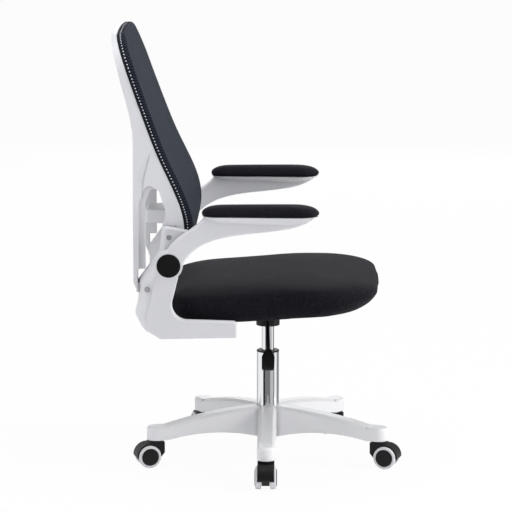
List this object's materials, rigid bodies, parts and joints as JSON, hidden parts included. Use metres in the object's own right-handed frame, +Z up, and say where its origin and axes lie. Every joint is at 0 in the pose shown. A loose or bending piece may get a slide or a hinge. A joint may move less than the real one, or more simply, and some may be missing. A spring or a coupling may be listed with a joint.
{
  "type": "ergonomic office chair",
  "caption": "Swivel office chair with a mesh back in a white arched frame, padded seat, flip-up arms, gas lift with a lever and a star base on twin-wheel casters.",
  "frame": {"origin": "on the floor, on the axis of the gas lift", "axes": "+X forward the way the sitter faces, +Y to the sitter's left, +Z up"},
  "size_m": [0.6292, 0.6456, 0.9651],
  "materials": {
    "white_plastic": "satin",
    "black_plastic": "satin",
    "seat_fabric": "fine knit",
    "mesh_fabric": "open knit",
    "chrome": "polished",
    "steel": "bright",
    "black_metal": "matte",
    "grey_tread": "smooth"
  },
  "bodies": {
    "base": {"star_base": "white_plastic", "column_tube": "chrome", "column_bush": "black_plastic", "thrust_bearing": "steel", "caster_stems": "steel"},
    "piston_rod": {"piston_rod": "steel", "rod_clip": "steel"},
    "seat": {"gas_cylinder": "chrome", "seat_plate": "black_metal", "lever_pin": "steel", "seat_pan": "black_plastic", "seat_cushion": "seat_fabric", "seat_bolts": "steel", "bracket_left": "white_plastic", "bracket_right": "white_plastic", "back_frame": "white_plastic", "back_mesh": "mesh_fabric", "mesh_band": "black_plastic", "lumbar_support": "white_plastic", "arm_pivot_pins": "steel", "back_screws": "steel"},
    "valve": {"valve_pin": "steel"},
    "lever": {"lever_rod": "black_metal", "lever_paddle": "black_plastic"},
    "arm_left": {"arm_left": "white_plastic", "arm_pad_left": "seat_fabric", "pivot_cap_left": "black_plastic"},
    "arm_right": {"arm_right": "white_plastic", "arm_pad_right": "seat_fabric", "pivot_cap_right": "black_plastic"},
    "caster_1": {"caster_hood_1": "black_plastic", "caster_axle_1": "steel"},
    "wheel_1_a": {"wheel_hub_1_a": "black_plastic", "wheel_tyre_1_a": "grey_tread"},
    "wheel_1_b": {"wheel_hub_1_b": "black_plastic", "wheel_tyre_1_b": "grey_tread"},
    "caster_2": {"caster_hood_2": "black_plastic", "caster_axle_2": "steel"},
    "wheel_2_a": {"wheel_hub_2_a": "black_plastic", "wheel_tyre_2_a": "grey_tread"},
    "wheel_2_b": {"wheel_hub_2_b": "black_plastic", "wheel_tyre_2_b": "grey_tread"},
    "caster_3": {"caster_hood_3": "black_plastic", "caster_axle_3": "steel"},
    "wheel_3_a": {"wheel_hub_3_a": "black_plastic", "wheel_tyre_3_a": "grey_tread"},
    "wheel_3_b": {"wheel_hub_3_b": "black_plastic", "wheel_tyre_3_b": "grey_tread"},
    "caster_4": {"caster_hood_4": "black_plastic", "caster_axle_4": "steel"},
    "wheel_4_a": {"wheel_hub_4_a": "black_plastic", "wheel_tyre_4_a": "grey_tread"},
    "wheel_4_b": {"wheel_hub_4_b": "black_plastic", "wheel_tyre_4_b": "grey_tread"},
    "caster_5": {"caster_hood_5": "black_plastic", "caster_axle_5": "steel"},
    "wheel_5_a": {"wheel_hub_5_a": "black_plastic", "wheel_tyre_5_a": "grey_tread"},
    "wheel_5_b": {"wheel_hub_5_b": "black_plastic", "wheel_tyre_5_b": "grey_tread"}
  },
  "joints": [
    {"name": "seat_swivel", "type": "hinge", "parent": "base", "child": "piston_rod", "pos_m": [0, 0, 0.2], "axis": [0, 0, 1], "continuous": true},
    {"name": "seat_height", "type": "slide", "parent": "piston_rod", "child": "seat", "axis": [0, 0, 1], "range_m": [-0.04, 0.045]},
    {"name": "lever_lift", "type": "hinge", "parent": "seat", "child": "lever", "pos_m": [0, -0.032, 0.341], "axis": [-1, 0, 0], "range_deg": [0, 6], "stiffness_Nm_per_rad": 1.5, "springref_deg": -2.86},
    {"name": "valve_press", "type": "slide", "parent": "seat", "child": "valve", "axis": [0, 0, -1], "range_m": [0, 0.004]},
    {"name": "arm_flip_left", "type": "hinge", "parent": "seat", "child": "arm_left", "pos_m": [-0.205, 0.28, 0.489], "axis": [0, -1, 0], "range_deg": [0, 90]},
    {"name": "arm_flip_right", "type": "hinge", "parent": "seat", "child": "arm_right", "pos_m": [-0.205, -0.28, 0.489], "axis": [0, -1, 0], "range_deg": [0, 90]},
    {"name": "caster_swivel_1", "type": "hinge", "parent": "base", "child": "caster_1", "pos_m": [0, -0.256, 0.05], "axis": [0, 0, 1], "continuous": true},
    {"name": "wheel_roll_1_a", "type": "hinge", "parent": "caster_1", "child": "wheel_1_a", "pos_m": [-0.016, -0.277, 0.025], "axis": [1, 0, 0], "continuous": true},
    {"name": "wheel_roll_1_b", "type": "hinge", "parent": "caster_1", "child": "wheel_1_b", "pos_m": [0.016, -0.277, 0.025], "axis": [1, 0, 0], "continuous": true},
    {"name": "caster_swivel_2", "type": "hinge", "parent": "base", "child": "caster_2", "pos_m": [0.24347, -0.07911, 0.05], "axis": [0, 0, 1], "continuous": true},
    {"name": "wheel_roll_2_a", "type": "hinge", "parent": "caster_2", "child": "wheel_2_a", "pos_m": [0.2585, -0.10082, 0.025], "axis": [0.309, 0.9511, 0], "continuous": true},
    {"name": "wheel_roll_2_b", "type": "hinge", "parent": "caster_2", "child": "wheel_2_b", "pos_m": [0.26839, -0.07038, 0.025], "axis": [0.309, 0.9511, 0], "continuous": true},
    {"name": "caster_swivel_3", "type": "hinge", "parent": "base", "child": "caster_3", "pos_m": [0.15047, 0.20711, 0.05], "axis": [0, 0, 1], "continuous": true},
    {"name": "wheel_roll_3_a", "type": "hinge", "parent": "caster_3", "child": "wheel_3_a", "pos_m": [0.16092, 0.23136, 0.025], "axis": [-0.9703, -0.2419, 0], "continuous": true},
    {"name": "wheel_roll_3_b", "type": "hinge", "parent": "caster_3", "child": "wheel_3_b", "pos_m": [0.12987, 0.22361, 0.025], "axis": [-0.9703, -0.2419, 0], "continuous": true},
    {"name": "caster_swivel_4", "type": "hinge", "parent": "base", "child": "caster_4", "pos_m": [-0.15047, 0.20711, 0.05], "axis": [0, 0, 1], "continuous": true},
    {"name": "wheel_roll_4_a", "type": "hinge", "parent": "caster_4", "child": "wheel_4_a", "pos_m": [-0.14003, 0.23136, 0.025], "axis": [-0.9703, -0.2419, 0], "continuous": true},
    {"name": "wheel_roll_4_b", "type": "hinge", "parent": "caster_4", "child": "wheel_4_b", "pos_m": [-0.17108, 0.22361, 0.025], "axis": [-0.9703, -0.2419, 0], "continuous": true},
    {"name": "caster_swivel_5", "type": "hinge", "parent": "base", "child": "caster_5", "pos_m": [-0.24347, -0.07911, 0.05], "axis": [0, 0, 1], "continuous": true},
    {"name": "wheel_roll_5_a", "type": "hinge", "parent": "caster_5", "child": "wheel_5_a", "pos_m": [-0.26839, -0.07038, 0.025], "axis": [0.309, -0.9511, 0], "continuous": true},
    {"name": "wheel_roll_5_b", "type": "hinge", "parent": "caster_5", "child": "wheel_5_b", "pos_m": [-0.2585, -0.10082, 0.025], "axis": [0.309, -0.9511, 0], "continuous": true}
  ],
  "couplings": [
    {"joint": "valve_press", "follows": "lever_lift", "m_per_rad": 0.0355}
  ]
}
